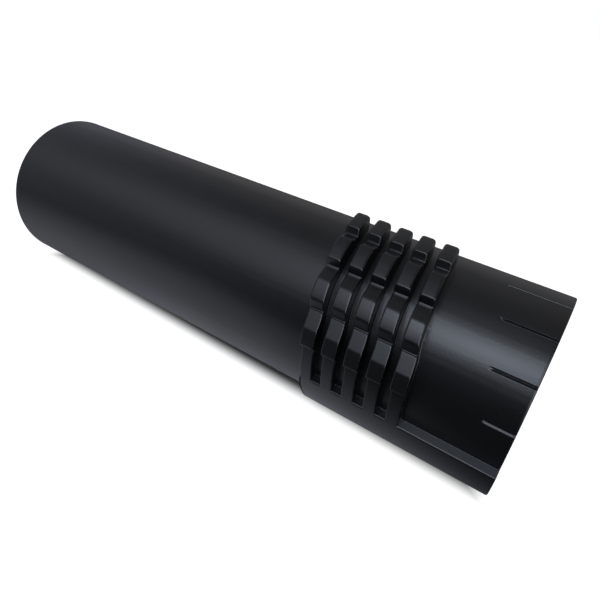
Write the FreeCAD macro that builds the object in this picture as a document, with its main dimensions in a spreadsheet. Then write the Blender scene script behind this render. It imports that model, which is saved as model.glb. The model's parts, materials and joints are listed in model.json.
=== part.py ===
import FreeCAD, Part
import math
import os

import Sketcher
from FreeCAD import Vector

# Leaf blower nozzle tube: one moulded piece lying on its side.
# X runs along the tube from the outlet lip to the inlet rim. The piece is built with
# its ledges level, and angles turn about the tube's axis from the -Y side over the top.

# Driving dimensions, in millimetres and degrees
DRIVING_SIZES = (
    ("tube_length", 263.0, "outlet lip to inlet rim"),
    ("outer_radius", 38.0, "outside of the plain tube"),
    ("wall", 2.6, "thickness of the tube wall"),
    ("edge_break", 0.6, "chamfer on the lip and the rim"),
    ("grip_start", 179.9, "outlet lip to the saddle and the first ring, on the tube's axis"),
    ("grip_slant", 7.5, "turn of the rings and the saddle's front about the upright"),
    ("saddle_height", 4.0, "step of the saddle and the ring lands above the tube"),
    ("ledge_drop", 1.9, "how far the saddle's ledges lie below the tube's axis"),
    ("ring_count", 5, "rings in the grip"),
    ("ring_pitch", 9.2, "from one ring to the next along the tube"),
    ("ring_foot", 5.0, "width of a ring at the ledges"),
    ("ring_crest", 4.4, "width of a ring at the top of the grip"),
    ("block_height", 2.85, "step of a block above its land"),
    ("first_block", 17.6, "angle of the lowest block's foot"),
    ("block_pitch", 22.0, "angle from one block to the next"),
    ("block_gap", 1.5, "angle of bare land between two blocks"),
    ("block_wall", 2.0, "angle taken by a block's lower wall"),
    ("low_ramp", 9.8, "angle taken by the upper ramp of the lowest block"),
    ("middle_ramp", 7.8, "angle taken by the upper ramp of the second block"),
    ("high_ramp", 5.3, "angle taken by the upper ramp of the third block"),
    ("top_block", 17.7, "angle taken by the block at the top"),
    ("slot_count", 6, "slots in the inlet rim"),
    ("slot_width", 1.4, "width of a slot"),
    ("slot_depth", 1.1, "depth of a slot in the wall"),
    ("first_slot", 21.5, "angle of the lowest slot"),
    ("slot_pitch", 25.8, "angle from one slot to the next"),
    ("longest_slot", 22.2, "length of the slot at the top"),
    ("longest_index", 3, "slots before the longest one"),
    ("slot_step", 3.8, "how much shorter each next slot is"),
)

# Room past a surface for a cut to come out clean
CUT_ROOM = 2.0

doc = FreeCAD.newDocument("nozzle_tube")
sheet = doc.addObject("Spreadsheet::Sheet", "sizes")
for row, (alias, value, note) in enumerate(DRIVING_SIZES, start=1):
    sheet.set(f"A{row}", alias)
    sheet.set(f"B{row}", str(value))
    sheet.set(f"C{row}", note)
    sheet.setAlias(f"B{row}", alias)
doc.recompute()

# Rules for the radii and angles that several features share
OUTSIDE = "sizes.outer_radius"
BORE = "(sizes.outer_radius - sizes.wall)"
ROOT = "(sizes.outer_radius - sizes.wall / 2)"
LAND = "(sizes.outer_radius + sizes.saddle_height)"
CREST = f"({LAND} + sizes.block_height)"
RING_LEAN = f"((sizes.ring_foot - sizes.ring_crest) / 2 / {CREST})"
RING_CENTRE = "(sizes.grip_start + sizes.ring_foot / 2)"
LEDGE = "(-sizes.ledge_drop)"
SLANT_REACH = f"({CREST} * tan(sizes.grip_slant) + {CUT_ROOM})"
UPPER_RAMPS = ("sizes.low_ramp", "sizes.middle_ramp", "sizes.high_ramp")


def number(rule):
    """The present value of an expression over the sheet."""
    value = sheet.evalExpression(rule)
    return float(getattr(value, "Value", value))


def origin_item(body, role):
    """One of the body's own base planes or axes."""
    return next(item for item in body.Origin.OriginFeatures if item.Role == role)


def new_sketch(body, name, role):
    """A sketch on one of the body's base planes."""
    sketch = body.newObject("Sketcher::SketchObject", name)
    sketch.AttachmentSupport = (origin_item(body, role), [""])
    sketch.MapMode = "FlatFace"
    return sketch


def tie(sketch, kind, geometry, end, rule):
    """Holds one coordinate of a point to an expression, from the sketch's origin."""
    value = number(rule)
    axis = {"DistanceX": -2, "DistanceY": -1}[kind]
    if abs(value) < 1e-9:
        sketch.addConstraint(Sketcher.Constraint("PointOnObject", geometry, end, axis))
        return
    if value > 0:
        index = sketch.addConstraint(Sketcher.Constraint(kind, -1, 1, geometry, end, value))
        sketch.setExpression(f"Constraints[{index}]", rule)
        return
    index = sketch.addConstraint(Sketcher.Constraint(kind, geometry, end, -1, 1, -value))
    sketch.setExpression(f"Constraints[{index}]", f"-({rule})")


def add_outline(sketch, corners, closed=True):
    """Straight lines from corner to corner, each corner held by two expressions."""
    points = [Vector(number(x), number(y), 0) for x, y in corners]
    line_count = len(points) if closed else len(points) - 1
    lines = []
    for index in range(line_count):
        segment = Part.LineSegment(points[index], points[(index + 1) % len(points)])
        lines.append(sketch.addGeometry(segment, False))
    for before, after in zip(lines, lines[1:] + lines[:1] if closed else lines[1:]):
        sketch.addConstraint(Sketcher.Constraint("Coincident", before, 2, after, 1))
    for index, (x_rule, y_rule) in enumerate(corners):
        line, end = (lines[index], 1) if index < line_count else (lines[-1], 2)
        tie(sketch, "DistanceX", line, end, x_rule)
        tie(sketch, "DistanceY", line, end, y_rule)
    return lines


def around(radius_rule, angle_rule):
    """Sketch coordinates, across and up, of a point at a radius and an angle."""
    return f"-({radius_rule} * cos({angle_rule}))", f"{radius_rule} * sin({angle_rule})"


# Plain tube, turned from the section of its wall
tube = doc.addObject("PartDesign::Body", "tube")
wall_section = new_sketch(tube, "wall_section", "XY_Plane")
far = "sizes.tube_length"
edge = "sizes.edge_break"
add_outline(wall_section, [
    ("0", f"{BORE} + {edge}"),
    (edge, BORE),
    (f"{far} - {edge}", BORE),
    (far, f"{BORE} + {edge}"),
    (far, f"{OUTSIDE} - {edge}"),
    (f"{far} - {edge}", OUTSIDE),
    (edge, OUTSIDE),
    ("0", f"{OUTSIDE} - {edge}"),
])
doc.recompute()
tube_wall = tube.newObject("PartDesign::Revolution", "tube_wall")
tube_wall.Profile = wall_section
tube_wall.ReferenceAxis = (wall_section, ["H_Axis"])
tube_wall.Angle = 360
tube.Tip = tube_wall
doc.recompute()

# Saddle: the thicker lower half that runs to the inlet rim, begun short of the first ring
saddle = doc.addObject("PartDesign::Body", "saddle")
saddle_section = new_sketch(saddle, "saddle_section", "YZ_Plane")
saddle_section.setExpression("AttachmentOffset.Base.z", f"sizes.grip_start - {SLANT_REACH}")
half_rings = []
for radius_rule in (LAND, ROOT):
    circle = Part.Circle(Vector(0, 0, 0), Vector(0, 0, 1), number(radius_rule))
    dip = math.asin(-number(LEDGE) / number(radius_rule))
    arc = saddle_section.addGeometry(Part.ArcOfCircle(circle, math.pi + dip, 2 * math.pi - dip), False)
    saddle_section.addConstraint(Sketcher.Constraint("Coincident", arc, 3, -1, 1))
    tie(saddle_section, "DistanceY", arc, 1, LEDGE)
    tie(saddle_section, "DistanceY", arc, 2, LEDGE)
    index = saddle_section.addConstraint(Sketcher.Constraint("Radius", arc, number(radius_rule)))
    saddle_section.setExpression(f"Constraints[{index}]", radius_rule)
    half_rings.append(arc)
for end, side in ((1, -1), (2, 1)):
    outer_point = Vector(side * number(LAND), number(LEDGE), 0)
    inner_point = Vector(side * number(ROOT), number(LEDGE), 0)
    ledge = saddle_section.addGeometry(Part.LineSegment(outer_point, inner_point), False)
    saddle_section.addConstraint(Sketcher.Constraint("Coincident", ledge, 1, half_rings[0], end))
    saddle_section.addConstraint(Sketcher.Constraint("Coincident", ledge, 2, half_rings[1], end))
doc.recompute()
saddle_shell = saddle.newObject("PartDesign::Pad", "saddle_shell")
saddle_shell.Profile = saddle_section
saddle_shell.setExpression("Length", f"sizes.tube_length - sizes.grip_start + {SLANT_REACH}")
doc.recompute()

# Saddle front: cut back to a slanted plane in line with the first ring
front_plan = new_sketch(saddle, "front_plan", "XY_Plane")
front_plan.AttachmentOffset = FreeCAD.Placement(Vector(0, 0, CUT_ROOM), FreeCAD.Rotation())
side = f"({LAND} + {CUT_ROOM})"
shift = f"{side} * tan(sizes.grip_slant)"
clear = f"sizes.grip_start - {SLANT_REACH} - {CUT_ROOM}"
add_outline(front_plan, [
    (clear, f"-{side}"),
    (f"sizes.grip_start + {shift}", f"-{side}"),
    (f"sizes.grip_start - {shift}", side),
    (clear, side),
])
doc.recompute()
saddle_front = saddle.newObject("PartDesign::Pocket", "saddle_front")
saddle_front.Profile = front_plan
saddle_front.setExpression("Length", f"{LAND} + {2 * CUT_ROOM}")
saddle.Tip = saddle_front
doc.recompute()

# Ring stack: one slab drafted upwards and slanted like the saddle's front, then repeated
ring_stack = doc.addObject("PartDesign::Body", "ring_stack")
ring_stack.AllowCompound = True
ring_section = new_sketch(ring_stack, "ring_section", "XZ_Plane")
ring_section.AttachmentOffset = FreeCAD.Placement(Vector(0, 0, 0), FreeCAD.Rotation(Vector(0, 1, 0), 1))
ring_section.setExpression("AttachmentOffset.Base.x", RING_CENTRE)
ring_section.setExpression("AttachmentOffset.Rotation.Angle", "sizes.grip_slant")
half_foot = "sizes.ring_foot / 2"
half_top = f"({half_foot} - {RING_LEAN} * ({CREST} + {CUT_ROOM}))"
ring_top = f"({CREST} + {CUT_ROOM})"
add_outline(ring_section, [
    (f"-{half_foot}", LEDGE),
    (half_foot, LEDGE),
    (half_top, ring_top),
    (f"-{half_top}", ring_top),
])
doc.recompute()
ring = ring_stack.newObject("PartDesign::Pad", "ring")
ring.Profile = ring_section
ring.SideType = "Symmetric"
ring.setExpression("Length", f"2 * ({CREST} + {CUT_ROOM})")
doc.recompute()
rings = ring_stack.newObject("PartDesign::LinearPattern", "rings")
rings.Originals = [ring]
rings.Direction = (origin_item(ring_stack, "X_Axis"), [""])
rings.setExpression("Length", "sizes.ring_pitch * (sizes.ring_count - 1)")
rings.setExpression("Occurrences", "sizes.ring_count")
ring_stack.Tip = rings
doc.recompute()

# Block outline: the rings' side view, from the ledge up over four blocks
block_sector = doc.addObject("PartDesign::Body", "block_sector")
block_outline = new_sketch(block_sector, "block_outline", "YZ_Plane")
block_outline.setExpression("AttachmentOffset.Base.z", f"sizes.grip_start - {SLANT_REACH}")
corners = []
for index in range(len(UPPER_RAMPS) + 1):
    foot_angle = f"(sizes.first_block + {index} * sizes.block_pitch)"
    corners.append(around(LAND, foot_angle))
    corners.append(around(CREST, f"({foot_angle} + sizes.block_wall)"))
    if index < len(UPPER_RAMPS):
        ramp_foot = f"({foot_angle} + sizes.block_pitch - sizes.block_gap)"
        corners.append(around(CREST, f"({ramp_foot} - {UPPER_RAMPS[index]})"))
        corners.append(around(LAND, ramp_foot))
    else:
        corners.append(around(CREST, f"({foot_angle} + sizes.top_block)"))
        corners.append(around(ROOT, f"({foot_angle} + sizes.top_block)"))
block_lines = add_outline(block_outline, corners, closed=False)
first_foot = math.pi - math.radians(number("sizes.first_block"))
last_end = math.pi - math.radians(number(f"{foot_angle} + sizes.top_block"))
land_arc, root_arc = (
    block_outline.addGeometry(
        Part.ArcOfCircle(
            Part.Circle(Vector(0, 0, 0), Vector(0, 0, 1), number(rule)), begin,
            math.pi + math.asin(-number(LEDGE) / number(rule))), False)
    for rule, begin in ((LAND, first_foot), (ROOT, last_end))
)
base_ends = [Vector(-number(rule), number(LEDGE), 0) for rule in (LAND, ROOT)]
base_line = block_outline.addGeometry(Part.LineSegment(*base_ends), False)
for first, second in (
    ((land_arc, 3), (-1, 1)),
    ((root_arc, 3), (-1, 1)),
    ((land_arc, 1), (block_lines[0], 1)),
    ((root_arc, 1), (block_lines[-1], 2)),
    ((land_arc, 2), (base_line, 1)),
    ((root_arc, 2), (base_line, 2)),
):
    block_outline.addConstraint(Sketcher.Constraint("Coincident", *first, *second))
for end in (1, 2):
    tie(block_outline, "DistanceY", base_line, end, LEDGE)
doc.recompute()
blocks = block_sector.newObject("PartDesign::Pad", "blocks")
blocks.Profile = block_outline
stack_length = "sizes.ring_pitch * (sizes.ring_count - 1) + sizes.ring_foot"
blocks.setExpression("Length", f"{stack_length} + 2 * {SLANT_REACH}")
block_sector.Tip = blocks
doc.recompute()

# Grip: the rings where the block outline leaves them standing
grip = doc.addObject("Part::Common", "grip")
grip.Base = ring_stack
grip.Tool = block_sector
doc.recompute()

moulding = doc.addObject("Part::MultiFuse", "moulding")
moulding.Shapes = [tube, saddle, grip]
moulding.Refine = True
doc.recompute()

# Slots: shallow cuts in the inlet rim, longest at the top
slots = []
for index in range(int(number("sizes.slot_count"))):
    slot = doc.addObject("Part::Box", f"slot_{index + 1}")
    turn = f"(90 - sizes.first_slot - {index} * sizes.slot_pitch)"
    length = f"(sizes.longest_slot - sizes.slot_step * abs({index} - sizes.longest_index))"
    floor = f"({OUTSIDE} - sizes.slot_depth)"
    slot.setExpression("Length", f"{length} + {CUT_ROOM}")
    slot.setExpression("Width", "sizes.slot_width")
    slot.setExpression("Height", f"sizes.slot_depth + {CUT_ROOM}")
    slot.Placement.Rotation.Axis = Vector(1, 0, 0)
    slot.setExpression("Placement.Rotation.Angle", turn)
    slot.setExpression("Placement.Base.x", f"sizes.tube_length - {length}")
    slot.setExpression("Placement.Base.y", f"-sizes.slot_width / 2 * cos({turn}) - {floor} * sin({turn})")
    slot.setExpression("Placement.Base.z", f"-sizes.slot_width / 2 * sin({turn}) + {floor} * cos({turn})")
    slots.append(slot)
slot_set = doc.addObject("Part::MultiFuse", "slot_set")
slot_set.Shapes = slots
doc.recompute()

# Finished tube, lying on its saddle with the middle of its length over the origin
# and rolled to where the weight of the rings brings its centre of gravity lowest
nozzle_tube = doc.addObject("Part::Cut", "nozzle_tube")
nozzle_tube.Label = "nozzle_tube"
nozzle_tube.Base = moulding
nozzle_tube.Tool = slot_set
weight_point = "moulding.Shape.CenterOfGravity"
nozzle_tube.Placement.Rotation.Axis = Vector(1, 0, 0)
nozzle_tube.setExpression("Placement.Rotation.Angle", f"atan({weight_point}.y / {weight_point}.z)")
nozzle_tube.setExpression("Placement.Base.x", "-sizes.tube_length / 2")
nozzle_tube.setExpression("Placement.Base.z", LAND)
doc.recompute()

# Every object has to be sound before anything is written
for item in doc.Objects:
    if "Invalid" in item.State or "Error" in item.State:
        raise RuntimeError(f"{item.Name} did not build: {item.State}")
if moulding.Shape.Volume <= tube.Shape.Volume:
    raise RuntimeError("the saddle and the grip add nothing to the tube")
if nozzle_tube.Shape.Volume >= moulding.Shape.Volume:
    raise RuntimeError("the slots cut nothing")

os.makedirs("parts", exist_ok=True)
for node in (nozzle_tube,):
    if node.Shape.isNull() or not node.Shape.isValid() or len(node.Shape.Solids) != 1:
        raise RuntimeError(f"{node.Label} is not one sound solid")
    node.Shape.exportStep(f"parts/{node.Label}.step")
    box = node.Shape.BoundBox
    print(f"{node.Label}: {node.Shape.Volume / 1000:.1f} cm3, "
          f"{box.XLength:.1f} x {box.YLength:.1f} x {box.ZLength:.1f} mm")
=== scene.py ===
import json
from math import asin, atan2, cos, degrees, hypot, radians, sin, tan

import bmesh
import bpy
from mathutils import Euler, Matrix, Vector


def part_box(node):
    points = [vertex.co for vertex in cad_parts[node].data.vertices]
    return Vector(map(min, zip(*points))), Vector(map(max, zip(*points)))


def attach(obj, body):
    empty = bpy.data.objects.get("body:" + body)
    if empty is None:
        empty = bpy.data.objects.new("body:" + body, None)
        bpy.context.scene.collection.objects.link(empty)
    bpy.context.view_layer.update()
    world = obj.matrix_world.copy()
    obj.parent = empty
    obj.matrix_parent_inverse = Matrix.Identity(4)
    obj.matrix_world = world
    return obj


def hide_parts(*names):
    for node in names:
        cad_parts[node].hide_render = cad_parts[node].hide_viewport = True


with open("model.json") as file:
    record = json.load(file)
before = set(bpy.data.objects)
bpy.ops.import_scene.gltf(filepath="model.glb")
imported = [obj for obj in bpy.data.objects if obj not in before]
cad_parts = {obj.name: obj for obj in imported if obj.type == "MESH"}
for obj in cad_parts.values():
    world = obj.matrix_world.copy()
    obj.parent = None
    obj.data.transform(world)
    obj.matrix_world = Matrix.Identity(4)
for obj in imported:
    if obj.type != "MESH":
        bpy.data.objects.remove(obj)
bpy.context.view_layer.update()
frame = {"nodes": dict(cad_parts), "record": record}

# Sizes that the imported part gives, in metres
mm = 0.001
mounts = {mount["name"]: mount for mount in frame["record"]["mounts"]}
low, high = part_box("nozzle_tube")
outsideRadius = mounts["outlet_spigot"]["dims"]["r_mm"] * mm
boreRadius = mounts["inlet_bore"]["dims"]["r_mm"] * mm
axisHeight = mounts["inlet_bore"]["pos_m"][2]
landRadius = axisHeight - low.z  # the saddle is what it lies on
tubeLength = high.x - low.x


def findRestRoll(node):
    # the ledges are the highest corners of the saddle at the inlet rim, evenly on both sides
    nearSaddle, nearRim = 0.05 * mm, 0.1 * mm
    angles = []
    for vertex in node.data.vertices:
        across, up = -vertex.co.y, vertex.co.z - axisHeight
        onSaddle = abs(hypot(across, up) - landRadius) < nearSaddle
        if onSaddle and vertex.co.x > high.x - nearRim:
            angles.append(atan2(across, -up))  # from straight down towards the near side
    return -(max(angles) + min(angles)) / 2


restRoll = findRestRoll(frame["nodes"]["nozzle_tube"])
# from the tube with level ledges and its axis on the origin to the tube at rest
tubeToRest = Matrix.Translation((0, 0, axisHeight)) @ Matrix.Rotation(restRoll, 4, "X")
print("frame loaded, rest roll", round(degrees(restRoll), 2), "degrees")


# Rounded outlines, which the tube's sections are drawn with

bendPoints = {"foot": 4, "edge": 5, "crest": 6}  # on each kind of rounded corner


def smoothStep(start, end, value):
    share = min(1.0, max(0.0, (value - start) / (end - start)))
    return share * share * (3 - 2 * share)


def bend(start, corner, end, kind):
    # points on a curve that rounds a corner
    points = []
    last = bendPoints[kind] - 1
    for index in range(last + 1):
        t = index / last
        weights = ((1 - t) ** 2, 2 * t * (1 - t), t ** 2)
        points.append(tuple(weights[0] * a + weights[1] * b + weights[2] * c
                            for a, b, c in zip(start, corner, end)))
    return points


def roundedPath(corners, rounds):
    # the outline through the corners, each inner corner rounded by its own length
    mostReach = 0.48  # share of a side, so that two rounds never meet
    path = [corners[0]]
    for before, corner, after, size in zip(corners, corners[1:], corners[2:], rounds):
        if not size:
            path.append(corner)
            continue
        toBefore = Vector(before) - Vector(corner)
        toAfter = Vector(after) - Vector(corner)
        reach = min(size, toBefore.length * mostReach, toAfter.length * mostReach)
        start = Vector(corner) + toBefore.normalized() * reach
        end = Vector(corner) + toAfter.normalized() * reach
        path += bend(start, corner, end, "edge")
    path.append(corners[-1])
    return path


def onCircle(radius, angle):
    return radius * cos(radians(angle)), radius * sin(radians(angle))


# Grip rings and the slant that they share with the saddle's front

gripShape = {  # lengths in millimetres, angles in degrees from the near side over the top
    "start": 179.9,  # saddle's front, from the outlet lip
    "frontClear": 1.8,  # between the plain tube's last column and the saddle's front
    "slant": 7.5,
    "slantFades": (150.0, 178.0, 222.2, 240.0),  # columns turn to the slant and back between these
    "ringCount": 5,
    "ringPitch": 9.2,
    "ringMiddle": 2.5,  # of the first ring, from the saddle's front
    "landWidth": 5.0,
    "blockWidth": 5.85,
    "widens": (15.0, 19.0),  # from the land's width to the blocks' between these angles
    "bow": 0.8,  # how far the rings bend towards the outlet
    "bowAngles": (34.0, 46.0, 50.0, 95.0),  # the bend comes and goes between these
    "crestRound": (0.5, 1.5),  # of the blocks' long edges, from the lowest to the top block
    "crestAngles": (30.0, 95.0),
    "footRound": 0.3,
    "fullHeight": 2.0,  # a ring lower than this has smaller rounds
    "blockHeight": 2.85,
    "firstBlock": 18.2,
    "blockPitch": 22.0,
    "landBefore": 1.5,  # angle of the land that is drawn below the lowest block
    "rampDrop": 0.4,  # angle in which a ramp's end drops to the gap above it
    "crestSteps": 4,
    "longestStep": 2.0,  # between two rows
    # from the lowest block to the top one, which ends steeply on the tube
    "blocks": (
        {"foot": 0.0, "wall": 2.0, "lowerRound": 0.5, "upperRound": 0.6,
         "ramp": 9.2, "fall": 1.7, "gap": 2.1, "gapFloor": 0.6},
        {"foot": 1.0, "wall": 2.8, "lowerRound": 1.6, "upperRound": 1.0,
         "ramp": 7.8, "fall": 2.85, "gap": 1.5, "gapFloor": 0.0},
        {"foot": 0.0, "wall": 2.0, "lowerRound": 0.6, "upperRound": 0.8,
         "ramp": 5.3, "fall": 2.85, "gap": 1.5, "gapFloor": 0.0},
        {"foot": 0.0, "wall": 2.0, "lowerRound": 0.6, "upperRound": 1.4,
         "ramp": 0.0, "gap": 5.1},
    ),
}

gripStart = gripShape["start"] * mm
crestRadius = landRadius + gripShape["blockHeight"] * mm
slant = tan(radians(gripShape["slant"]))


def blockOutline():
    # the toothed outline in section, from below the lowest block to past the top one
    foot = gripShape["footRound"] * mm
    steps = gripShape["crestSteps"]
    corners = [onCircle(landRadius, gripShape["firstBlock"] - gripShape["landBefore"])]
    rounds = []
    floor = landRadius
    for index, block in enumerate(gripShape["blocks"]):
        start = gripShape["firstBlock"] + index * gripShape["blockPitch"]
        crest = start + block["wall"]
        rampFoot = start + gripShape["blockPitch"] - block["gap"]
        crestSpan = rampFoot - block["ramp"] - crest
        corners.append(onCircle(floor, start - block["foot"]))
        corners += [onCircle(crestRadius, crest + crestSpan * step / steps)
                    for step in range(steps + 1)]
        rounds += [foot, block["lowerRound"] * mm] + [0] * (steps - 1) + [block["upperRound"] * mm]
        if "fall" not in block:
            corners.append(onCircle(outsideRadius, rampFoot))
            break
        rampEnd = crestRadius - block["fall"] * mm
        floor = landRadius + block["gapFloor"] * mm
        if rampEnd > floor + foot:
            corners.append(onCircle(rampEnd, rampFoot))
            rounds.append(foot)
            rampFoot += gripShape["rampDrop"]
        corners.append(onCircle(floor, rampFoot))
        rounds.append(foot)
    return roundedPath(corners, rounds)


def blockRows():
    # (angle, top radius) along the toothed outline, with no long step
    outline = blockOutline()
    points = [outline[0]]
    for before, after in zip(outline, outline[1:]):
        length = (Vector(after) - Vector(before)).length
        pieces = max(1, round(length / (gripShape["longestStep"] * mm)))
        for piece in range(1, pieces + 1):
            share = piece / pieces
            points.append(tuple(a + (b - a) * share for a, b in zip(before, after)))
    return [(degrees(atan2(up, across)), hypot(across, up)) for across, up in points]


def ringCentre(index):
    return gripStart + (gripShape["ringMiddle"] + index * gripShape["ringPitch"]) * mm


def ringHalves(angle):
    # how far a ring reaches to the left and to the right of its middle
    wider = gripShape["blockWidth"] - gripShape["landWidth"]
    width = gripShape["landWidth"] + wider * smoothStep(*gripShape["widens"], angle)
    half = width / 2 * mm
    first, second, third, fourth = gripShape["bowAngles"]
    bowShare = smoothStep(first, second, angle) - smoothStep(third, fourth, angle)
    bow = gripShape["bow"] * mm * bowShare
    return half + bow, half - bow


def ringPoints(centre, base, top, angle):
    # one ring's section from its left foot to its right foot
    share = min(1.0, max(0.0, top - base) / (gripShape["fullHeight"] * mm))
    foot = gripShape["footRound"] * mm * share
    lowest, highest = gripShape["crestRound"]
    crestRound = lowest + (highest - lowest) * smoothStep(*gripShape["crestAngles"], angle)
    crest = crestRound * mm * share
    sides = []
    for half in ringHalves(angle):
        side = bend((-half - foot, base), (-half, base), (-half, base + foot), "foot")
        side += bend((-half, top - crest), (-half, top), (-half + crest, top), "crest")
        sides.append(side)
    right = [(-along, radius) for along, radius in reversed(sides[1])]
    return [(centre + along, radius) for along, radius in sides[0] + right]


def slanted(along, across):
    # slides a column along the tube so that the rings and the saddle's front lie slanted
    fades = [place * mm for place in gripShape["slantFades"]]
    share = smoothStep(fades[0], fades[1], along) * (1 - smoothStep(fades[2], fades[3], along))
    return along + slant * across * share


# Slots in the inlet rim

slotShape = {  # lengths in millimetres, angles in degrees from the near side over the top
    "count": 6,
    "first": 21.5,
    "pitch": 25.8,
    "width": 1.15,
    "depth": 0.95,
    "pull": 76.0,  # the floors of the lower slots turn towards this angle
    "mostTilt": 40.0,
    "longest": 22.2,
    "longestIndex": 3,
    "step": 3.8,  # how much shorter each next slot is
    "lip": 0.25,
}


def slotAngles():
    return [slotShape["first"] + index * slotShape["pitch"] for index in range(slotShape["count"])]


def slotStart(index):
    length = slotShape["longest"] - slotShape["step"] * abs(index - slotShape["longestIndex"])
    return tubeLength - length * mm


def slotRows():
    # angles of the rows across the slots: beside them, down their walls and on their floors
    half = degrees(slotShape["width"] * mm / 2 / outsideRadius)
    lip = degrees(slotShape["lip"] * mm / outsideRadius)
    lower = (-half - lip, -half, lip / 2 - half, lip - half, -half / 3)
    offsets = lower + tuple(-offset for offset in lower)
    return [middle + offset for middle in slotAngles() for offset in offsets]


def slotCut(angle, along):
    # how deep the slots go at one place of the rim
    lip = slotShape["lip"] * mm
    half = slotShape["width"] * mm / 2
    deepest = 0.0
    for index, middle in enumerate(slotAngles()):
        offset = radians(angle - middle) * outsideRadius
        tilt = min(slotShape["mostTilt"], max(0.0, slotShape["pull"] - middle))
        floor = max(0.0, slotShape["depth"] * mm - (half - offset) * tan(radians(tilt)))
        inWidth = smoothStep(-half, lip - half, offset) * (1 - smoothStep(half - lip, half, offset))
        inLength = smoothStep(slotStart(index) - lip, slotStart(index) + lip, along)
        deepest = max(deepest, floor * inWidth * inLength)
    return deepest


# Tube mesh: rows go round the axis, columns run along it, and every edge is rounded

tubeShape = {  # lengths in millimetres
    "edgeRound": 0.7,
    "ledgeDrop": 1.9,
    "ledgeRound": 0.8,
    "plainColumns": 30,
    "boreColumns": 16,
    "rimColumns": 60,
    "rimClear": 1.05,  # between the last of these columns and the rim
    "rowStep": 2.5,  # degrees
    "weld": 0.02,
    "thinnest": 0.005,
    "boreMargin": 0.2,  # what still counts as the bore's surface
    "ledgeMargin": 0.3,  # left at the ledges' edges in the outside finish
    "ledgeBand": 0.5,  # degrees
}
finishOrder = ("satinBlackOutside", "satinBlackBore", "paintedLitLedge")


def ledgeDip():
    # angle of the ledges below the axis
    return degrees(asin(2 * tubeShape["ledgeDrop"] * mm / (landRadius + outsideRadius)))


def ledgeRows(isNear):
    # (angle, base radius) from the saddle up to the tube, beside the near or the far ledge
    size = tubeShape["ledgeRound"] * mm
    foot = gripShape["footRound"] * mm
    straight = 2 * size  # what is drawn beyond the two rounds
    corners = [(landRadius, -straight), (landRadius, 0),
               (outsideRadius, 0), (outsideRadius, straight)]
    rows = []
    for across, up in roundedPath(corners, [size, foot])[1:-1]:
        angle = degrees(atan2(up, across)) - ledgeDip()
        rows.append((angle if isNear else 180 - angle, across))
    return rows if isNear else rows[::-1]


def plainAngles(start, end):
    # even steps that keep off both ends
    step = tubeShape["rowStep"]
    angles = []
    angle = start + step
    while angle < end - step / 2:
        angles.append(angle)
        angle += step
    return angles


def tubeRows():
    # every row as (angle, base radius, top radius of the rings)
    blocks = blockRows()
    nearLedge, farLedge = ledgeRows(True), ledgeRows(False)
    gripLow, gripHigh = blocks[0][0], blocks[-1][0]
    clear = tubeShape["rowStep"] / 2

    def topAt(angle):
        for (before, topBefore), (after, topAfter) in zip(blocks, blocks[1:]):
            if before <= angle <= after and after > before:
                return topBefore + (topAfter - topBefore) * (angle - before) / (after - before)
        return landRadius if angle < gripLow else outsideRadius

    rows = [(angle, base, landRadius) for angle, base in nearLedge]
    rows += [(angle, outsideRadius, top) for angle, top in blocks]
    rows += [(angle, base, base) for angle, base in farLedge]
    for angle in plainAngles(nearLedge[-1][0], farLedge[0][0]):
        if not gripLow - clear < angle < gripHigh + clear:
            rows.append((angle, outsideRadius, topAt(angle)))
    for angle in plainAngles(farLedge[-1][0], 360 + nearLedge[0][0]):
        rows.append((angle, landRadius, landRadius))
    rows += [(angle, outsideRadius, topAt(angle)) for angle in slotRows()]
    return sorted(rows, key=lambda row: row[0])


def rimColumns():
    # places along the inlet end, evenly spaced and fine enough for the ends of the slots
    start = ringCentre(gripShape["ringCount"] - 1) + gripShape["blockWidth"] / 2 * mm
    end = tubeLength - tubeShape["rimClear"] * mm
    count = tubeShape["rimColumns"]
    return [start + (end - start) * index / count for index in range(1, count + 1)]


def saddleFront(angle, base):
    # section of the saddle's front wall, which fades out up the ledges
    share = (base - outsideRadius) / (landRadius - outsideRadius)
    foot = gripShape["footRound"] * mm
    wall = ringCentre(0) - ringHalves(angle)[0] - foot * (1 - share)
    rise = foot * share
    points = bend((wall - rise, outsideRadius), (wall, outsideRadius),
                  (wall, outsideRadius + rise), "foot")
    rise = tubeShape["ledgeRound"] * mm * share
    return points + bend((wall, base - rise), (wall, base), (wall + rise, base), "edge")


def tubeProfile(row, columns):
    # (along, radius) once round the wall: outside, inlet rim, bore, outlet lip
    angle, base, top = row
    edge = tubeShape["edgeRound"] * mm
    points = bend((0, outsideRadius - edge), (0, outsideRadius), (edge, outsideRadius), "edge")
    count = tubeShape["plainColumns"]
    span = gripStart - gripShape["frontClear"] * mm - edge
    points += [(edge + span * index / count, outsideRadius) for index in range(1, count + 1)]
    points += saddleFront(angle, base)
    for index in range(gripShape["ringCount"]):
        points += ringPoints(ringCentre(index), base, top, angle)
    points += [(along, base - slotCut(angle, along)) for along in columns]
    rim = base - slotCut(angle, tubeLength)
    nearRim = tubeLength - edge
    points += bend((nearRim, rim), (tubeLength, rim), (tubeLength, rim - edge), "edge")
    points += bend((tubeLength, boreRadius + edge), (tubeLength, boreRadius),
                   (nearRim, boreRadius), "edge")
    count = tubeShape["boreColumns"]
    span = tubeLength - 2 * edge
    points += [(nearRim - span * index / count, boreRadius) for index in range(1, count)]
    return points + bend((edge, boreRadius), (0, boreRadius), (0, boreRadius + edge), "edge")


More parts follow.
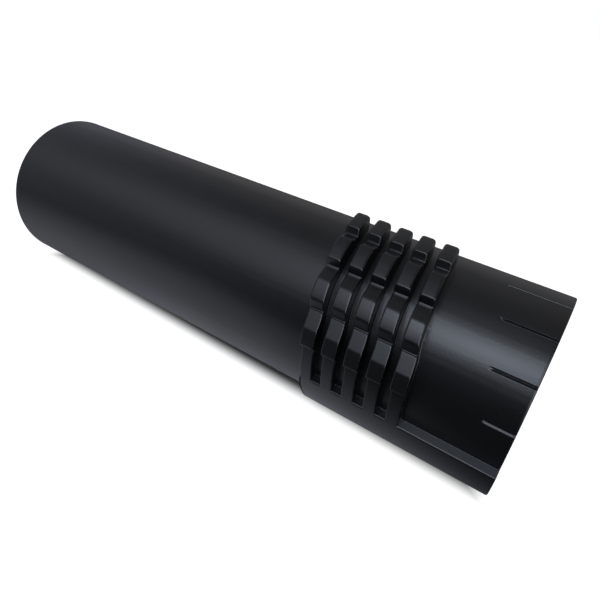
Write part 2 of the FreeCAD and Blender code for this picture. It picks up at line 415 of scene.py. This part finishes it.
def finishAt(place):
    # which finish the surface has at a place of the tube with level ledges
    radius = hypot(place.y, place.z)
    if radius < boreRadius + tubeShape["boreMargin"] * mm:
        return "satinBlackBore"
    lastRing = ringCentre(gripShape["ringCount"] - 1)
    pastRings = place.x > slanted(lastRing, -place.y) - tubeLength / 2
    fromLedge = abs(degrees(atan2(place.z, abs(place.y))) + ledgeDip())
    margin = tubeShape["ledgeMargin"] * mm
    inWidth = outsideRadius + margin < radius < landRadius - margin
    # the ledges past the rings get the paler ledge finish, which is painted light for their upward
    # faces
    if pastRings and inWidth and fromLedge < tubeShape["ledgeBand"]:
        return "paintedLitLedge"
    return "satinBlackOutside"


def makeTube():
    columns = rimColumns()
    built = bmesh.new()
    loops = []
    for row in tubeRows():
        angle = radians(row[0])
        loop = []
        for along, radius in tubeProfile(row, columns):
            across = radius * cos(angle)
            onX = slanted(along, across) - tubeLength / 2
            place = tubeToRest @ Vector((onX, -across, radius * sin(angle)))
            loop.append(built.verts.new(place))
        loops.append(loop)
    for here, there in zip(loops, loops[1:] + loops[:1]):
        for a, b, c, d in zip(here, here[1:] + here[:1], there[1:] + there[:1], there):
            built.faces.new((a, b, c, d))
    bmesh.ops.remove_doubles(built, verts=built.verts, dist=tubeShape["weld"] * mm)
    bmesh.ops.dissolve_degenerate(built, edges=built.edges, dist=tubeShape["thinnest"] * mm)
    bmesh.ops.recalc_face_normals(built, faces=built.faces)
    restToTube = tubeToRest.inverted()
    for face in built.faces:
        face.smooth = True
        finish = finishAt(restToTube @ face.calc_center_median())
        face.material_index = finishOrder.index(finish)
    mesh = bpy.data.meshes.new("nozzleTubeShell")
    built.to_mesh(mesh)
    built.free()
    shell = bpy.data.objects.new("nozzleTubeShell", mesh)
    bpy.context.scene.collection.objects.link(shell)
    weighted = shell.modifiers.new("evenShading", "WEIGHTED_NORMAL")
    weighted.keep_sharp = False
    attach(shell, "root")
    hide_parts("nozzle_tube")
    return shell


tubeShell = makeTube()
print("tube shell built,", len(tubeShell.data.polygons), "faces")


# Nodes that the materials are put together from

def addNode(tree, kind, given=None, **settings):
    # given holds what goes into the node's sockets: other nodes' outputs or fixed values
    node = tree.nodes.new(kind)
    for name, value in settings.items():
        setattr(node, name, value)
    for label, value in (given or {}).items():
        if isinstance(value, bpy.types.NodeSocket):
            tree.links.new(value, node.inputs[label])
        else:
            node.inputs[label].default_value = value
    return node


def addMath(tree, operation, first, second):
    return addNode(tree, "ShaderNodeMath", {0: first, 1: second}, operation=operation).outputs[0]


def addVectorMath(tree, operation, first, second):
    return addNode(tree, "ShaderNodeVectorMath", {0: first, 1: second}, operation=operation)


def addRange(tree, value, limits):
    # 0 at the first limit and 1 at the second
    given = {"Value": value, "From Min": limits[0], "From Max": limits[1]}
    node = addNode(tree, "ShaderNodeMapRange", given, interpolation_type="SMOOTHSTEP")
    return node.outputs["Result"]


def addNoise(tree, vector, scale, detail, roughness=0.5):
    given = {"Vector": vector, "Scale": scale, "Detail": detail, "Roughness": roughness}
    return addNode(tree, "ShaderNodeTexNoise", given).outputs["Fac"]


def stretched(tree, vector, scale):
    given = {"Vector": vector, "Scale": scale}
    return addNode(tree, "ShaderNodeMapping", given).outputs["Vector"]


def mixColours(tree, share, first, second):
    given = {"Factor": share, "A": first, "B": second}
    return addNode(tree, "ShaderNodeMix", given, data_type="RGBA").outputs["Result"]


def splitVector(tree, vector):
    return addNode(tree, "ShaderNodeSeparateXYZ", {"Vector": vector}).outputs


def newMaterial(name):
    material = bpy.data.materials.new(name)
    material.use_nodes = True
    material.node_tree.nodes.clear()
    return material, material.node_tree


# Shared surface effects, as node groups

def newGroup(name, inputs, outputs):
    tree = bpy.data.node_groups.new(name, "ShaderNodeTree")
    for label, value in inputs.items():
        socket = tree.interface.new_socket(label, in_out="INPUT", socket_type="NodeSocketFloat")
        socket.default_value = value
    for label in outputs:
        tree.interface.new_socket(label, in_out="OUTPUT", socket_type="NodeSocketFloat")
    return tree, addNode(tree, "NodeGroupInput").outputs


def newMaskGroup(name):
    tree, given = newGroup(name, {"Amount": 0.5}, ("Mask",))
    return tree, given["Amount"]


def objectPlace(tree):
    return addNode(tree, "ShaderNodeTexCoord").outputs["Object"]


def putOut(tree, **results):
    addNode(tree, "NodeGroupOutput", results)
    return tree


grainPattern = {
    "detail": 3.0,
    "roughness": 0.6,
    "slowScale": 38.0,  # unevenness of the wall
    "slowDetail": 2.0,
}


def makeGrainGroup():
    # fine spark-eroded mould grain, with a slow unevenness of the wall
    inputs = {"Scale": 1500.0, "Waviness": 0.3}
    tree, given = newGroup("mouldGrain", inputs, ("Height", "Unevenness"))
    place = objectPlace(tree)
    fine = addNoise(tree, place, given["Scale"], grainPattern["detail"], grainPattern["roughness"])
    slow = addNoise(tree, place, grainPattern["slowScale"], grainPattern["slowDetail"])
    wavy = addMath(tree, "MULTIPLY", slow, given["Waviness"])
    return putOut(tree, Height=addMath(tree, "ADD", fine, wavy), Unevenness=slow)


scuffPattern = {
    "streakScale": (60.0, 1500.0, 1500.0),
    "streakLimits": (0.70, 0.76),
    "patchScale": 26.0,
    "patchLimits": (0.52, 0.68),
    "detail": 2.0,
    "speckScale": 260.0,
    "speckLimits": (0.13, 0.05),
    "speckChoice": (0.86, 0.90),  # only some of the specks show
}


def makeScuffGroup():
    # sparse short scratches along the tube, and small specks
    tree, amount = newMaskGroup("handlingScuffs")
    place = objectPlace(tree)
    detail = scuffPattern["detail"]
    streak = addNoise(tree, stretched(tree, place, scuffPattern["streakScale"]), 1.0, detail)
    streak = addRange(tree, streak, scuffPattern["streakLimits"])
    patch = addNoise(tree, place, scuffPattern["patchScale"], detail)
    patch = addRange(tree, patch, scuffPattern["patchLimits"])
    given = {"Vector": place, "Scale": scuffPattern["speckScale"]}
    cells = addNode(tree, "ShaderNodeTexVoronoi", given, feature="F1").outputs
    speck = addRange(tree, cells["Distance"], scuffPattern["speckLimits"])
    picked = addNode(tree, "ShaderNodeSeparateColor", {"Color": cells["Color"]}).outputs["Red"]
    speck = addMath(tree, "MULTIPLY", speck, addRange(tree, picked, scuffPattern["speckChoice"]))
    mask = addMath(tree, "MULTIPLY", addMath(tree, "MAXIMUM", streak, speck), patch)
    return putOut(tree, Mask=addMath(tree, "MULTIPLY", mask, amount))


edgePattern = {
    "sharpLimits": (0.53, 0.62),
    "breakScale": 320.0,
    "breakDetail": 3.0,
    "breakLimits": (0.30, 0.62),
    "raisedLimits": (outsideRadius + 0.5 * mm, outsideRadius + 2 * mm),
}


def makeEdgeGroup():
    # rubbed outer edges with a painted edge highlight, on what stands out from the tube, broken up
    # by noise
    tree, amount = newMaskGroup("rubbedEdgesAndHighlight")
    place = objectPlace(tree)
    pointiness = addNode(tree, "ShaderNodeNewGeometry").outputs["Pointiness"]
    sharp = addRange(tree, pointiness, edgePattern["sharpLimits"])
    broken = addNoise(tree, place, edgePattern["breakScale"], edgePattern["breakDetail"])
    broken = addRange(tree, broken, edgePattern["breakLimits"])
    fromAxis = addVectorMath(tree, "SUBTRACT", place, (0, 0, axisHeight)).outputs["Vector"]
    given = {0: stretched(tree, fromAxis, (0.0, 1.0, 1.0))}  # without the part along the tube
    radius = addNode(tree, "ShaderNodeVectorMath", given, operation="LENGTH").outputs["Value"]
    raised = addRange(tree, radius, edgePattern["raisedLimits"])
    mask = addMath(tree, "MULTIPLY", addMath(tree, "MULTIPLY", sharp, broken), raised)
    return putOut(tree, Mask=addMath(tree, "MULTIPLY", mask, amount))


dustPattern = {
    "upwardLimits": (0.1, 1.0),
    "cloudScale": 70.0,
    "cloudDetail": 4.0,
    "cloudRoughness": 0.65,
    "cloudLimits": (0.38, 0.72),
}


def makeDustGroup():
    # thin dust on what faces up
    tree, amount = newMaskGroup("settledDust")
    facing = splitVector(tree, addNode(tree, "ShaderNodeNewGeometry").outputs["Normal"])
    upward = addRange(tree, facing["Z"], dustPattern["upwardLimits"])
    cloudy = addNoise(tree, objectPlace(tree), dustPattern["cloudScale"],
                      dustPattern["cloudDetail"], dustPattern["cloudRoughness"])
    cloudy = addRange(tree, cloudy, dustPattern["cloudLimits"])
    mask = addMath(tree, "MULTIPLY", upward, cloudy)
    return putOut(tree, Mask=addMath(tree, "MULTIPLY", mask, amount))


effects = {
    "grain": makeGrainGroup(),
    "scuffs": makeScuffGroup(),
    "edges": makeEdgeGroup(),
    "dust": makeDustGroup(),
}
print("surface effects built")


# Plastic finishes

outsideFinish = {
    "colour": (0.0045, 0.0045, 0.0050, 1.0),
    "paleColour": (0.045, 0.045, 0.050, 1.0),
    "roughness": (0.30, 0.38),
    "paleRoughness": 0.2,  # added where the surface is pale
    "grainScale": 1500.0,
    "grainStrength": 0.16,
    "grainDepth": 0.15,  # millimetres
    "waviness": 0.3,
    "scuffs": 0.5,
    # edges: rubbed wear, partly a painted edge highlight
    "edges": 0.60,
    "dust": 0.06,
}

ledgeFinish = outsideFinish | {  # painted paler: painted light that the ledges' upward faces catch
    "colour": (0.048, 0.051, 0.053, 1.0),
    "scuffs": 0.2,
}

boreFinish = outsideFinish | {  # duller and dustier
    "colour": (0.0055, 0.0055, 0.0060, 1.0),
    "paleColour": (0.05, 0.05, 0.055, 1.0),
    "roughness": (0.42, 0.55),
    "grainScale": 1700.0,
    "grainStrength": 0.08,
    "waviness": 0.6,
    "scuffs": 0.8,
    "edges": 0.2,
    "dust": 0.3,
}

finishes = {
    "satinBlackOutside": outsideFinish,
    "satinBlackBore": boreFinish,
    "paintedLitLedge": ledgeFinish,
}


def placeGroup(tree, name, **values):
    return addNode(tree, "ShaderNodeGroup", values, node_tree=effects[name]).outputs


def makePlastic(name):
    finish = finishes[name]
    material, tree = newMaterial(name)
    grain = placeGroup(tree, "grain", Scale=finish["grainScale"], Waviness=finish["waviness"])
    masks = [placeGroup(tree, effect, Amount=finish[effect])["Mask"]
             for effect in ("scuffs", "edges", "dust")]
    # pale where scuffed, dusty or rubbed, and on edges where a highlight is painted
    pale = addMath(tree, "MAXIMUM", addMath(tree, "MAXIMUM", masks[0], masks[1]), masks[2])
    smooth, rough = finish["roughness"]
    spread = addMath(tree, "MULTIPLY", grain["Unevenness"], rough - smooth)
    roughness = addMath(tree, "ADD", spread, smooth)
    added = addMath(tree, "MULTIPLY", pale, finish["paleRoughness"])
    bump = addNode(tree, "ShaderNodeBump", {
        "Strength": finish["grainStrength"],
        "Distance": finish["grainDepth"] * mm,
        "Height": grain["Height"],
    })
    shader = addNode(tree, "ShaderNodeBsdfPrincipled", {
        "Base Color": mixColours(tree, pale, finish["colour"], finish["paleColour"]),
        "Roughness": addMath(tree, "ADD", roughness, added),
        "Normal": bump.outputs["Normal"],
    })
    addNode(tree, "ShaderNodeOutputMaterial", {"Surface": shader.outputs["BSDF"]})
    return material


for finishName in finishOrder:
    tubeShell.data.materials.append(makePlastic(finishName))
print("plastic finishes built")


# Floor, light and camera

floorShape = {  # in metres, along the tube and across from under its axis
    "size": 12.0,
    "colour": (0.82, 0.82, 0.82, 1.0),
    "seenColour": (0.50, 0.48, 0.46, 1.0),  # painted shade: the floor looks darker to the camera than its paint, which deepens the narrow shadow beside the tube
    "whiteFront": (-0.0125, -0.0235),  # where the floor turns plain white
    "whiteBack": (0.0, 0.12),
    "whiteInlet": (0.118, 0.134),
    "whiteOutlet": (-0.124, -0.140),
    "mirroredTint": (0.88, 0.87, 1.0, 1.0),  # what the gloss shows on top of the lit floor
    "mirroredGlow": 0.37,
    "glowAlong": (-0.31, -0.03),
    "glowAcross": (-0.006, -0.046),
    "shadedColour": (0.11, 0.11, 0.11, 1.0),  # painted shade that only the gloss shows, in front of the inlet end
    "shadeRange": (0.048, 0.205),
    "underAcross": (-0.065, -0.020),  # shade in the gloss beside the outlet half
    "underAlong": (-0.02, -0.11),
    "underShade": 0.34,
}


def makeFloorMaterial():
    material, tree = newMaterial("paleFloor")
    path = addNode(tree, "ShaderNodeLightPath").outputs
    spot = splitVector(tree, addNode(tree, "ShaderNodeNewGeometry").outputs["Position"])
    along, across = spot["X"], spot["Y"]
    # matt paint, with painted shade that only the gloss shows where the room is dark
    shaded = addMath(tree, "SUBTRACT", along, across)
    shaded = addRange(tree, shaded, floorShape["shadeRange"])
    under = addRange(tree, along, floorShape["underAlong"])
    under = addMath(tree, "MULTIPLY", under, floorShape["underShade"])
    under = addMath(tree, "MULTIPLY", under, addRange(tree, across, floorShape["underAcross"]))
    glossShade = addMath(tree, "MAXIMUM", shaded, under)
    dark = addMath(tree, "MULTIPLY", glossShade, path["Is Glossy Ray"])
    tone = mixColours(tree, dark, floorShape["colour"], floorShape["shadedColour"])
    # painted shade: to the camera the floor takes the darker seen colour, so that the shadow beside
    # the tube reads darker
    tone = mixColours(tree, path["Is Camera Ray"], tone, floorShape["seenColour"])
    paint = addNode(tree, "ShaderNodeBsdfDiffuse", {"Color": tone})
    # plain white to the camera, away from the tube, which leaves the painted shadow as a narrow
    # band beside it
    far = addRange(tree, across, floorShape["whiteFront"])
    for place, limits in ((across, "whiteBack"), (along, "whiteInlet"), (along, "whiteOutlet")):
        far = addMath(tree, "MAXIMUM", far, addRange(tree, place, floorShape[limits]))
    far = addMath(tree, "MULTIPLY", far, path["Is Camera Ray"])
    white = addNode(tree, "ShaderNodeEmission", {"Strength": far})
    # glow that only the gloss shows
    lit = addRange(tree, along, floorShape["glowAlong"])
    lit = addMath(tree, "MULTIPLY", lit, addRange(tree, across, floorShape["glowAcross"]))
    lit = addMath(tree, "MULTIPLY", lit, addMath(tree, "SUBTRACT", 1.0, glossShade))
    lit = addMath(tree, "MULTIPLY", lit, path["Is Glossy Ray"])
    lit = addMath(tree, "MULTIPLY", lit, floorShape["mirroredGlow"])
    given = {"Color": floorShape["mirroredTint"], "Strength": lit}
    glow = addNode(tree, "ShaderNodeEmission", given)
    shader = paint.outputs["BSDF"]
    for extra in (white, glow):
        both = addNode(tree, "ShaderNodeAddShader", {0: shader, 1: extra.outputs["Emission"]})
        shader = both.outputs["Shader"]
    addNode(tree, "ShaderNodeOutputMaterial", {"Surface": shader})
    return material


def makeFloor():
    # the floor meets the outlet lip and the lowest corner of the saddle's front
    lowestCorner = gripStart + slant * landRadius * sin(restRoll)
    slope = (axisHeight - outsideRadius - low.z) / lowestCorner
    bpy.ops.mesh.primitive_plane_add(size=floorShape["size"])
    floor = bpy.context.object
    floor.name = "paleFloor"
    floor.rotation_euler = (0, slope, 0)
    floor.location = (low.x + lowestCorner, 0, low.z)
    floor.data.materials.append(makeFloorMaterial())


makeFloor()

ceilingPanel = {  # in metres, beside the tube with level ledges
    "place": (0.09, -0.302, 0.584),
    "aim": (0.10, 0.0, 0.0),
    "size": (0.30, 0.27),
    "watts": 1.55,
    "colour": (0.76, 0.86, 1.0),
}


def makeCeilingPanel():
    data = bpy.data.lights.new("ceilingPanel", "AREA")
    data.shape = "RECTANGLE"
    data.size, data.size_y = ceilingPanel["size"]
    data.energy = ceilingPanel["watts"]
    data.color = ceilingPanel["colour"]
    light = bpy.data.objects.new("ceilingPanel", data)
    bpy.context.scene.collection.objects.link(light)
    place = Vector(ceilingPanel["place"])
    turn = (Vector(ceilingPanel["aim"]) - place).to_track_quat("-Z", "Y")
    light.matrix_world = tubeToRest @ Matrix.LocRotScale(place, turn, None)


makeCeilingPanel()

roomLight = {
    "white": (1.0, 1.0, 1.0, 1.0),
    "fill": (0.16, 0.16, 0.16, 1.0),  # what lights matt surfaces
    "shade": (0.02, 0.02, 0.02),  # what the gloss shows of the dark side of the room
}

# Lit parts of the mirrored room, by direction from the tube with level ledges
roomGlows = {
    "leftWall": {"towards": (-1.0, 0.0, 0.0), "cosines": (0.10, 0.85),
                 "colour": (0.32, 0.33, 0.39)},
    "backWall": {"towards": (0.0, 1.0, 0.0), "cosines": (0.0, 0.70),
                 "colour": (0.30, 0.30, 0.31)},
    "frontLeft": {"towards": (-0.70, -0.70, 0.0), "cosines": (0.82, 1.0),
                  "colour": (0.42, 0.43, 0.50)},
    "rightWindow": {"towards": (0.74, -0.40, 0.54), "cosines": (0.84, 1.0),
                    "colour": (4.2, 4.3, 4.6)},
    "zenith": {"towards": (-0.20, 0.17, 0.96), "cosines": (0.85, 1.0),
               "colour": (0.30, 0.30, 0.31)},
    "ceiling": {"towards": (-0.42, -0.34, 0.84), "cosines": (0.78, 1.0),
                "colour": (0.95, 1.0, 1.15)},
}


def makeWorld():
    world = bpy.data.worlds.new("studioRoom")
    bpy.context.scene.world = world
    world.use_nodes = True
    tree = world.node_tree
    tree.nodes.clear()
    path = addNode(tree, "ShaderNodeLightPath").outputs
    look = addNode(tree, "ShaderNodeTexCoord").outputs["Generated"]
    mirrored = roomLight["shade"]
    for glow in roomGlows.values():
        towards = tubeToRest.to_3x3() @ Vector(glow["towards"]).normalized()
        cosine = addVectorMath(tree, "DOT_PRODUCT", look, towards).outputs["Value"]
        given = {0: glow["colour"], "Scale": addRange(tree, cosine, glow["cosines"])}
        lit = addNode(tree, "ShaderNodeVectorMath", given, operation="SCALE").outputs["Vector"]
        mirrored = addVectorMath(tree, "MAXIMUM", lit, mirrored).outputs["Vector"]
    tone = mixColours(tree, path["Is Glossy Ray"], roomLight["fill"], mirrored)
    room = addNode(tree, "ShaderNodeBackground", {"Color": tone})
    backdrop = addNode(tree, "ShaderNodeBackground", {"Color": roomLight["white"]})
    mix = addNode(tree, "ShaderNodeMixShader", {
        "Fac": path["Is Camera Ray"],
        1: room.outputs["Background"],
        2: backdrop.outputs["Background"],
    })
    addNode(tree, "ShaderNodeOutputWorld", {"Surface": mix.outputs["Shader"]})


makeWorld()

cameraView = {  # where the picture was taken from, beside the tube with level ledges
    "place": (0.12682, -0.15180, 0.15381),  # metres
    "turn": (48.468, -0.682, 34.314),  # degrees
    "lens": 31.164,  # millimetres
    "sensor": 36.0,
    "nearest": 1.0,
}


def makeCamera():
    data = bpy.data.cameras.new("photoCamera")
    data.lens = cameraView["lens"]
    data.sensor_width = cameraView["sensor"]
    data.clip_start = cameraView["nearest"] * mm
    camera = bpy.data.objects.new("photoCamera", data)
    bpy.context.scene.collection.objects.link(camera)
    turn = Euler([radians(angle) for angle in cameraView["turn"]], "XYZ").to_matrix().to_4x4()
    camera.matrix_world = tubeToRest @ Matrix.Translation(cameraView["place"]) @ turn
    bpy.context.scene.camera = camera


makeCamera()
bpy.context.scene.view_settings.view_transform = "Standard"
print("floor, lamp, room and camera set")
